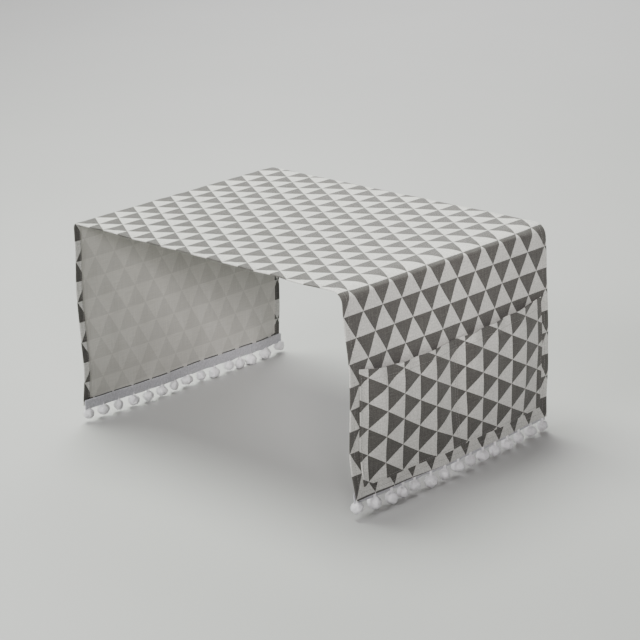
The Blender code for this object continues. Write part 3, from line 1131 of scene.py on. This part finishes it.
def fibres(random, centre, size, lumps):
    """Closed three-sided spikes that stand out of the ball like cut yarn ends."""
    number = FIBRES_PER_POMPOM
    directions = unit(random.normal(size=(number, 3)))
    tips = unit(directions + FIBRE_LEAN * random.normal(size=(number, 3)))
    roots = centre + pompom_surface(directions, size * (POMPOM_CORE - ROOTS_INSIDE_CORE), lumps)
    ends = roots + tips * FIBRE_LENGTH * random.uniform(*FIBRE_LENGTH_SHARES, (number, 1))
    first = unit(np.cross(directions, random.normal(size=(number, 3))))
    second = np.cross(directions, first)
    corners = [
        roots + FIBRE_ROOT * (first * math.cos(angle) + second * math.sin(angle))
        for angle in (0, 2 * math.pi / 3, 4 * math.pi / 3)
    ]
    points = np.stack([*corners, ends], axis=1).reshape(-1, 3)
    base = np.arange(number)[:, None, None] * SPIKE_CORNERS
    faces = base + np.array(SPIKE_FACES)
    return points, faces.reshape(-1, 3)


def neck(centre, radius, length):
    """The tied yarn between the ball and the tape: a tapering, slightly twisted stalk."""
    points = []
    for ring in range(NECK_RINGS):
        share = ring / (NECK_RINGS - 1)
        ring_radius = mix(NECK_FOOT_RADIUS * radius, NECK_TIP_RADIUS, smooth(share * NECK_TAPER))
        up = centre[2] + mix(NECK_FOOT_HEIGHT * radius, length, share)
        for corner in range(NECK_SIDES):
            angle = 2 * math.pi * corner / NECK_SIDES + NECK_TURN * share
            strand = math.cos(NECK_STRANDS * angle - NECK_STRAND_TWIST * share)
            reach = ring_radius * (1 + NECK_STRAND_DEPTH * strand)
            across = centre[0] + reach * math.cos(angle)
            along = centre[1] + reach * math.sin(angle)
            points.append((across, along, up))
    faces = []
    for ring in range(NECK_RINGS - 1):
        for corner in range(NECK_SIDES):
            low = ring * NECK_SIDES + corner
            low_after = ring * NECK_SIDES + (corner + 1) % NECK_SIDES
            faces.append((low, low_after, low_after + NECK_SIDES))
            faces.append((low, low_after + NECK_SIDES, low + NECK_SIDES))
    top = (NECK_RINGS - 1) * NECK_SIDES
    for corner in range(1, NECK_SIDES - 1):
        faces.append((0, corner + 1, corner))
        faces.append((top, top + corner, top + corner + 1))
    return np.array(points), np.array(faces)


def make_pompoms(side, word, material):
    random = np.random.default_rng(FIBRE_SEED + side)
    ball_points, ball_faces = ball_template()
    points = []
    faces = []
    start = 0
    for number, (centre, below, width, height) in enumerate(pompom_places(side)):
        seed = SEEDS_APART * number + side
        lumps = [ripples(seed + first, *waves_of_lumps) for first, *waves_of_lumps in LUMPS]
        size = np.array([width, width, height]) / 2
        parts = [
            (centre + pompom_surface(ball_points, size * POMPOM_CORE, lumps), ball_faces),
            fibres(random, centre, size, lumps),
            neck(centre, height / 2, below - TAPE_BELOW_HEM + NECK_ABOVE_TAPE_EDGE),
        ]
        for part_points, part_faces in parts:
            points.append(part_points)
            faces.append(part_faces + start)
            start += len(part_points)
    points = np.concatenate(points).tolist()
    return mesh_object("pompoms_" + word, points, np.concatenate(faces).tolist(), material)


# Stage

WORLD_COLOUR = (0.97, 0.98, 1.0, 1)
WORLD_STRENGTH = 0.2

# What the lights are aimed at: the cover's middle, the floor behind it and the top of its
# right-hand drop.
COVER_MIDDLE = (0, 0, -0.1)
BACKDROP = (-2.1, 2.5, FLOOR_LEVEL)
RIGHT_CREST = (0.227, -0.03, 0.055)
SIDE_BEAM = math.radians(18)

# Lights: name, place, aim, size, power, colour and, for the narrow one, its beam.
LIGHTS = (
    ("overhead light", (-0.75, 0.1, 2.0), COVER_MIDDLE, 1.5, 104, (0.945, 1.0, 0.915)),
    ("backdrop light", (-1.9, 2.3, 1.9), BACKDROP, 2.0, 90, (1.0, 1.0, 1.0)),
    ("front light", (0.1, -2.1, 1.25), COVER_MIDDLE, 1.0, 48, (0.99, 1.0, 0.985)),
    ("side light", (1.45, -0.95, 0.62), RIGHT_CREST, 0.5, 250, (1.0, 0.96, 0.94), SIDE_BEAM),
)


def make_camera():
    camera = add_object("camera", bpy.data.cameras.new("camera"))
    camera.data.lens = CAMERA_LENS
    camera.data.sensor_width = CAMERA_SENSOR
    turn = Matrix.Rotation(CAMERA_AZIMUTH, 4, "Z")
    turn = turn @ Matrix.Rotation(math.pi / 2 - CAMERA_ELEVATION, 4, "X")
    turn = turn @ Matrix.Rotation(CAMERA_ROLL, 4, "Z")
    camera.matrix_world = Matrix.Translation(CAMERA_PLACE) @ turn
    bpy.context.scene.camera = camera


def make_floor():
    signs = ((-1, -1), (1, -1), (1, 1), (-1, 1))
    corners = [(x * FLOOR_REACH, y * FLOOR_REACH, FLOOR_LEVEL) for x, y in signs]
    look = Look("pale floor", roughness=0.7)
    grain = look.noise(look.object_place(), scale=3.0, detail=2.0)
    look.colour(look.blend(grain, *FLOOR_SHADES))
    floor = mesh_object("floor", corners, [(0, 1, 2, 3)], look.material)


def add_light(name, place, target, size, power, colour, beam=None):
    """A round soft light. With a beam angle it fades away from the place it is aimed at."""
    if beam:
        lamp = bpy.data.lights.new(name, "SPOT")
        lamp.shadow_soft_size = size / 2
        lamp.spot_size = beam
        lamp.spot_blend = 1
    else:
        lamp = bpy.data.lights.new(name, "AREA")
        lamp.shape = "DISK"
        lamp.size = size
    lamp.energy = power
    lamp.color = colour
    holder = add_object(name, lamp)
    holder.location = place
    holder.rotation_euler = (Vector(target) - Vector(place)).to_track_quat("-Z", "Y").to_euler()


def make_lights():
    world = bpy.data.worlds.new("studio")
    world.use_nodes = True
    background = world.node_tree.nodes["Background"]
    background.inputs["Color"].default_value = WORLD_COLOUR
    background.inputs["Strength"].default_value = WORLD_STRENGTH
    bpy.context.scene.world = world
    for light in LIGHTS:
        add_light(*light)


def main():
    make_camera()
    make_lights()
    make_floor()
    canvas = printed_canvas("printed canvas")
    patch = printed_canvas("printed canvas of the patch", patch=True)
    wrong_side = wrong_side_canvas()
    thread = sewing_thread()
    tape_look = woven_tape()

    thread_rows = []
    runner = make_runner(canvas, wrong_side, thread_rows)
    ride_and_stand_for(runner, "printed_canvas", "cover_cloth")
    hem_thread = thread_object("hem_stitches", thread_rows, thread)
    ride_and_stand_for(hem_thread, "printed_canvas")
    on_runner = [hem_thread]
    for side, word in SIDES:
        patch_rows = []
        pocket = make_pocket(side, word, patch, wrong_side, patch_rows)
        ride_and_stand_for(pocket, "pocket_canvas", "pocket_" + word)
        patch_thread = thread_object("patch_stitches_" + word, patch_rows, thread)
        ride_and_stand_for(patch_thread, "pocket_canvas")
        tape = make_tape(side, word, tape_look)
        ride_and_stand_for(tape, "pompom_yarn", "pompom_trim_" + word)
        pompoms = make_pompoms(side, word, pompom_yarn("pompom yarn " + word))
        ride_and_stand_for(pompoms, "pompom_yarn", "pompom_trim_" + word)
        on_runner += [tape, pompoms]


main()
